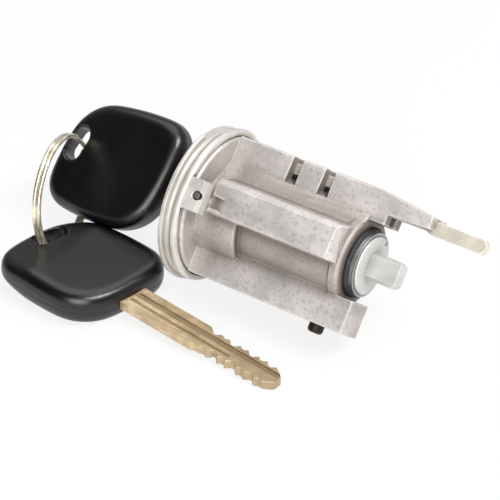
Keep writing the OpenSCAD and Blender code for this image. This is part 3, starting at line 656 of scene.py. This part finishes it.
def slot_frame(sizes):
    """The ring slot: its middle, its long and wide directions, half its straight length, its end radius."""
    middle = np.array([sizes.slot_inset - sizes.head_length / 2.0, sizes.slot_rise])
    long_way = np.array([math.sin(sizes.slot_lean), math.cos(sizes.slot_lean)])
    wide_way = np.array([math.cos(sizes.slot_lean), -math.sin(sizes.slot_lean)])
    radius = sizes.slot_width / 2.0
    return middle, long_way, wide_way, sizes.slot_length / 2.0 - radius, radius


def slot_rim(sizes, rim):
    """The points where spokes from the slot's middle to the rim's points leave the slot.

    A spoke leaves through the straight side after radius / |wide part|. Where that lies past the straight
    length, it leaves through a round end after
    straight * |long part| + sqrt(radius ** 2 - (straight * wide part) ** 2).
    """
    middle, long_way, wide_way, straight, radius = slot_frame(sizes)
    spoke = rim - middle
    spoke = spoke / np.linalg.norm(spoke, axis=1, keepdims=True)
    along, over = np.abs(spoke @ long_way), np.abs(spoke @ wide_way)
    to_side = radius / np.maximum(over, np.finfo(float).eps)
    to_end = straight * along + np.sqrt(np.maximum(radius**2 - (straight * over) ** 2, 0.0))
    return middle + spoke * np.where(along * to_side > straight, to_end, to_side)[:, None]


def head_height(sizes, flat, way, reach):
    """The height of a head over a grid of flat points.

    It is half the thickness there times (1 - (1 - inset / edge) ** n) ** (1 / n), with the inset measured
    to the outline, less a quarter round at the slot. The thickness rises smoothly from the ring end.
    """
    inset = np.stack([(reach - row @ way.T).min(axis=1) for row in flat])
    share = np.clip(inset / sizes.head_edge, 0.0, 1.0)
    crown = (1.0 - (1.0 - share) ** CROWN_POWER) ** (1.0 / CROWN_POWER)
    ramp = smooth_step((flat[..., 0] - sizes.ramp_start) / sizes.ramp_length)
    half = (sizes.head_thin + (sizes.head_thick - sizes.head_thin) * ramp) / 2.0
    middle, long_way, wide_way, straight, radius = slot_frame(sizes)
    beside = np.maximum(np.abs((flat - middle) @ long_way) - straight, 0.0)
    clear = np.maximum(np.hypot(beside, (flat - middle) @ wide_way) - radius, 0.0)
    bite = np.clip(1.0 - clear / sizes.slot_lip, 0.0, 1.0)
    return half * crown - sizes.slot_lip * (1.0 - np.sqrt(1.0 - bite**2))


def head_surface(sizes):
    """A moulded key head as a closed grid, shoulder at the origin, thickness along Y.

    Each column runs straight from a rim point to the slot: rows that follow 1 - cos over the edge round,
    even rows over the face, and rows that follow sin over the slot's lip. Each point is lifted by the
    head's height there, and the first row stands back as the parting line. The lower half mirrors the
    upper one, and the slot's wall joins them.
    """
    way, reach, rim = head_outline(sizes)
    slot = slot_rim(sizes, rim)
    gap = np.linalg.norm(slot - rim, axis=1)
    bend = sizes.head_edge * (1.0 - np.cos(np.linspace(EDGE_START, np.pi / 2.0, EDGE_ROWS)))
    narrow = np.minimum(1.0, EDGE_SHARE * gap / sizes.head_edge)
    edge = np.concatenate([PARTING_ROWS, bend])[:, None] * narrow
    rest = gap - edge[-1]
    band = np.minimum(LIP_BAND, LIP_SHARE * rest)
    face = edge[-1] + (rest - band) * np.linspace(0.0, 1.0, FACE_ROWS + 1)[1:, None]
    lip = (gap - band) + band * np.sin(np.linspace(0.0, np.pi / 2.0, LIP_ROWS + 1))[1:, None]
    inset = np.vstack([edge, face, lip])
    flat = rim + (slot - rim) * (inset / gap)[..., None]

    height = head_height(sizes, flat, way, reach)
    height[0] = 0.0
    flat[0] = rim - PARTING_GROOVE * rim / np.linalg.norm(rim, axis=1, keepdims=True)
    top = np.stack([flat[..., 0] - sizes.head_length / 2.0, -height, flat[..., 1]], axis=-1)
    under = top[:0:-1] * [1.0, -1.0, 1.0]
    fall = np.linspace(1.0, -1.0, WALL_ROWS + 2)[1:-1]
    wall = top[-1] * np.stack([np.ones(WALL_ROWS), fall, np.ones(WALL_ROWS)], axis=1)[:, None]
    return np.concatenate([top, wall, under], axis=0)


def ring_frame(node):
    """Centre, two level directions, normal and radius of a ring's solid.

    The normal is the direction in which the points spread least, and centre and radius are those of a
    least-squares circle through the points seen along it.
    """
    spots = mesh_points(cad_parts[node].data)
    mean = spots.mean(axis=0)
    first, second, normal = np.linalg.svd(spots - mean, full_matrices=False)[2]
    flat = np.stack([(spots - mean) @ first, (spots - mean) @ second], axis=1)
    sums = np.hstack([2.0 * flat, np.ones((len(flat), 1))])
    middle = np.linalg.lstsq(sums, (flat**2).sum(axis=1), rcond=None)[0]
    radius = math.sqrt(middle[2] + middle[0] ** 2 + middle[1] ** 2)
    return mean + middle[0] * first + middle[1] * second, first, second, normal, radius


def ring_surface(sizes):
    """The split ring: one wire wound twice, changing sides in a short crossing.

    The path is centre + radius * (cos a, sin a) + side(a) * normal for a from the first wire end to the
    last, and side goes smoothly from minus to plus half the wire's thickness at the crossing. The section
    is a soft square, |x| ** n + |y| ** n the same all round, cut by the wire's circle, and it closes in a
    quarter round at each end.
    """
    centre, first, second, normal, radius = ring_frame("split_ring")
    turn = np.linspace(RING_CROSSING, 4.0 * np.pi - RING_CROSSING, RING_STEPS)
    crossed = smooth_step((turn - 2.0 * np.pi + RING_CROSSING) / (2.0 * RING_CROSSING))
    side = sizes.wire * TURN_SHARE * (2.0 * crossed - 1.0)
    out = np.cos(turn + RING_START)[:, None] * first + np.sin(turn + RING_START)[:, None] * second
    path = centre + radius * out + side[:, None] * normal

    around = np.linspace(0.0, 2.0 * np.pi, RING_SIDES, endpoint=False)
    cos, sin = np.cos(around), np.sin(around)
    square = (np.abs(cos) ** SECTION_POWER + np.abs(sin) ** SECTION_POWER) ** (-1.0 / SECTION_POWER)
    section = np.minimum(square / square.max() * SECTION_CORNER, 1.0)
    end_length = sizes.wire / 2.0
    from_end = np.minimum(turn - turn[0], turn[-1] - turn) * radius / end_length
    taper = np.sqrt(1.0 - (1.0 - np.minimum(from_end, 1.0)) ** 2)
    reach = sizes.wire * WIRE_SHARE * taper[:, None] * section
    return path[:, None] + (reach * cos)[..., None] * out[:, None] + (reach * sin)[..., None] * normal


def groove_depth(obj, place, sizes):
    """Writes how far each point of a blade lies below its flat faces: 0 on them, 1 deep in a groove."""
    local = moved(mesh_points(obj.data), place.inverted())
    sunk = np.clip((sizes.blade_thick / 2.0 - np.abs(local[:, 1])) / sizes.stain_depth, 0.0, 1.0)
    depth = obj.data.attributes.new("depth", "FLOAT", "POINT")
    depth.data.foreach_set("value", sunk.astype(np.float32))


class Step:
    """What every operator of the set shares."""

    bl_options = {"REGISTER", "UNDO"}

    @property
    def sizes(self):
        return bpy.context.scene.lock_sizes

    @property
    def colours(self):
        return bpy.context.scene.lock_colours


class LOCKSET_OT_body(Step, bpy.types.Operator):
    """Dress the die-cast body"""

    bl_idname = "lockset.body"
    bl_label = "Cast Body"

    def execute(self, context):
        rounded_copy("housing", "lock_body", cast_zinc(self.colours), self.sizes.cast_edge)
        return {"FINISHED"}


class LOCKSET_OT_cap(Step, bpy.types.Operator):
    """Dress the front cap and the pin in its tongue"""

    bl_idname = "lockset.cap"
    bl_label = "Front Cap"

    def execute(self, context):
        pin = plain_metal("pin_metal", self.colours.pin, dull=0.34)
        rounded_copy("front_cap", "lock_body", plated_cap(self.colours), self.sizes.cap_edge)
        rounded_copy("cap_pin", "lock_body", pin, self.sizes.small_edge)
        return {"FINISHED"}


class LOCKSET_OT_rotor(Step, bpy.types.Operator):
    """Dress the plug, the tail with its tang, the bush and the sealing ring"""

    bl_idname = "lockset.rotor"
    bl_label = "Rotor"

    def execute(self, context):
        plug = plain_metal("plug_brass", self.colours.plug)
        tail = plain_metal("tail_metal", self.colours.tail, dull=0.34, spread=0.08, metallic=0.45)
        bush = plain_metal("bush_metal", self.colours.bush, dull=0.32)
        rounded_copy("plug", "rotor", plug, self.sizes.small_edge)
        rounded_copy("tail_piece", "rotor", tail, self.sizes.small_edge, steps=3)
        rounded_copy("rear_bush", "rotor", bush, self.sizes.bush_edge)
        rounded_copy("seal_ring", "rotor", black_rubber(self.colours), split=60.0)
        return {"FINISHED"}


class LOCKSET_OT_tumblers(Step, bpy.types.Operator):
    """Dress the wafers, their springs and the tail's cross pin"""

    bl_idname = "lockset.tumblers"
    bl_label = "Tumblers"

    def execute(self, context):
        wafer = plain_metal("wafer_brass", self.colours.wafer)
        spring = plain_metal("spring_steel", self.colours.spring, dull=0.28)
        pin = plain_metal("pin_steel", self.colours.tail_pin)
        rounded_copy("wafers", "rotor", wafer)
        rounded_copy("wafer_springs", "rotor", spring, split=80.0)
        rounded_copy("tail_pin", "rotor", pin)
        return {"FINISHED"}


class LOCKSET_OT_lever(Step, bpy.types.Operator):
    """Dress the lever, its pin, its spring and the follower"""

    bl_idname = "lockset.lever"
    bl_label = "Lever"

    def execute(self, context):
        metal = plain_metal("lever_metal", self.colours.lever, dull=0.36, spread=0.08, metallic=0.6)
        spring = plain_metal("lever_spring_steel", self.colours.spring, dull=0.28)
        pin = plain_metal("lever_pin_steel", self.colours.lever_pin)
        rounded_copy("lever", "lever_arm", metal, self.sizes.small_edge)
        rounded_copy("lever_pin", "lock_body", pin, self.sizes.small_edge)
        rounded_copy("lever_spring", "lock_body", spring, split=80.0)
        rounded_copy("follower_pin", "follower", pin, self.sizes.small_edge)
        return {"FINISHED"}


class LOCKSET_OT_plunger(Step, bpy.types.Operator):
    """Dress the retaining plunger and its spring"""

    bl_idname = "lockset.plunger"
    bl_label = "Plunger"

    def execute(self, context):
        dark = plain_metal("plunger_steel", self.colours.plunger, dull=0.4, spread=0.3, metallic=0.5)
        spring = plain_metal("plunger_spring_steel", self.colours.spring, dull=0.28)
        rounded_copy("plunger", "catch", dark, self.sizes.small_edge)
        rounded_copy("plunger_spring", "lock_body", spring, split=80.0)
        return {"FINISHED"}


class LOCKSET_OT_heads(Step, bpy.types.Operator):
    """Build the two moulded key heads"""

    bl_idname = "lockset.heads"
    bl_label = "Key Heads"

    def execute(self, context):
        black = moulded_black(self.colours)
        surface = head_surface(self.sizes)
        for name, place, body, node in (
            ("moulded_key_head", key_in_lock(self.sizes), "key", "key_head"),
            ("moulded_spare_head", key_on_ground(self.sizes), "spare_key", "spare_key_head"),
        ):
            head = mesh_from_grid(name, moved(surface, place), True, True)
            finished(head, body, node, black)
        return {"FINISHED"}


class LOCKSET_OT_blades(Step, bpy.types.Operator):
    """Dress the two cut key blades"""

    bl_idname = "lockset.blades"
    bl_label = "Key Blades"

    def execute(self, context):
        brass = worn_brass(self.colours)
        for node, place, body in (
            ("key_blade", key_in_lock(self.sizes), "key"),
            ("spare_key_blade", key_on_ground(self.sizes), "spare_key"),
        ):
            blade = rounded_copy(node, body, brass, self.sizes.small_edge)
            groove_depth(blade, place, self.sizes)
        return {"FINISHED"}


class LOCKSET_OT_ring(Step, bpy.types.Operator):
    """Wind the split ring"""

    bl_idname = "lockset.ring"
    bl_label = "Split Ring"

    def execute(self, context):
        ring = mesh_from_grid("wound_ring", ring_surface(self.sizes), False, True)
        finished(ring, "ring", "split_ring", ring_steel(self.colours))
        return {"FINISHED"}


class LOCKSET_OT_stage(Step, bpy.types.Operator):
    """Set up the floor, the studio light and the camera"""

    bl_idname = "lockset.stage"
    bl_label = "Studio"

    def execute(self, context):
        scene = bpy.context.scene
        scene.view_settings.view_transform = "Standard"
        floor = self.floor(scene)
        lamps = [self.lamp(scene, *row) for row in LAMPS]
        scene.world = studio_world()
        self.camera(scene)
        return {"FINISHED"}

    def floor(self, scene):
        """A level square at the height of what the object rests on."""
        square = ((-1, -1), (1, -1), (1, 1), (-1, 1))
        mesh = bpy.data.meshes.new("floor")
        mesh.from_pydata([(FLOOR_REACH * x, FLOOR_REACH * y, GROUND) for x, y in square], [], [(0, 1, 2, 3)])
        mesh.materials.append(studio_floor(self.colours))
        obj = bpy.data.objects.new("floor", mesh)
        scene.collection.objects.link(obj)
        return obj

    def lamp(self, scene, name, place, target, sides, power):
        """An area lamp that looks at a point, its first side level."""
        data = bpy.data.lights.new(name, "AREA")
        data.shape = "RECTANGLE"
        data.size, data.size_y = sides
        data.energy = power
        obj = bpy.data.objects.new(name, data)
        obj.location = place
        obj.rotation_euler = (Vector(target) - Vector(place)).to_track_quat("-Z", "Y").to_euler()
        scene.collection.objects.link(obj)
        return obj

    def camera(self, scene):
        """The photograph's view: a long lens from the front right, above the keys."""
        back = Vector(
            (
                math.sin(VIEW_AZIMUTH) * math.cos(VIEW_ELEVATION),
                -math.cos(VIEW_AZIMUTH) * math.cos(VIEW_ELEVATION),
                math.sin(VIEW_ELEVATION),
            )
        )
        data = bpy.data.cameras.new("camera")
        data.lens = LENS
        data.sensor_width = SENSOR
        data.sensor_fit = "HORIZONTAL"
        data.clip_start = CLIP_START
        obj = bpy.data.objects.new("camera", data)
        obj.location = VIEW_TARGET + back * VIEW_DISTANCE
        obj.rotation_euler = (-back).to_track_quat("-Z", "Y").to_euler()
        scene.collection.objects.link(obj)
        scene.camera = obj


class LOCKSET_PT_panel(bpy.types.Panel):
    """Lists the steps and the values of the lock set"""

    bl_idname = "LOCKSET_PT_panel"
    bl_label = "Ignition Lock Set"
    bl_space_type = "VIEW_3D"
    bl_region_type = "UI"
    bl_category = "Lock"

    def draw(self, context):
        column = self.layout.column(align=True)
        for step in STEPS:
            column.operator(step.bl_idname)
        for group in (context.scene.lock_sizes, context.scene.lock_colours):
            box = self.layout.box().column()
            for name in group.__annotations__:
                box.prop(group, name)


STEPS = (
    LOCKSET_OT_body,
    LOCKSET_OT_cap,
    LOCKSET_OT_rotor,
    LOCKSET_OT_tumblers,
    LOCKSET_OT_lever,
    LOCKSET_OT_plunger,
    LOCKSET_OT_heads,
    LOCKSET_OT_blades,
    LOCKSET_OT_ring,
    LOCKSET_OT_stage,
)
CLASSES = (LockSizes, LockColours, *STEPS, LOCKSET_PT_panel)


def register():
    """Registers the classes and gives every scene the set's values."""
    for item in CLASSES:
        bpy.utils.register_class(item)
    bpy.types.Scene.lock_sizes = bpy.props.PointerProperty(type=LockSizes)
    bpy.types.Scene.lock_colours = bpy.props.PointerProperty(type=LockColours)


def unregister():
    """Takes back what register did."""
    del bpy.types.Scene.lock_colours
    del bpy.types.Scene.lock_sizes
    for item in reversed(CLASSES):
        bpy.utils.unregister_class(item)


def main():
    """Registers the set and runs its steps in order."""
    register()
    bpy.ops.lockset.body()
    bpy.ops.lockset.cap()
    bpy.ops.lockset.rotor()
    bpy.ops.lockset.tumblers()
    bpy.ops.lockset.lever()
    bpy.ops.lockset.plunger()
    bpy.ops.lockset.heads()
    bpy.ops.lockset.blades()
    bpy.ops.lockset.ring()
    bpy.ops.lockset.stage()


if __name__ == "__main__":
    main()
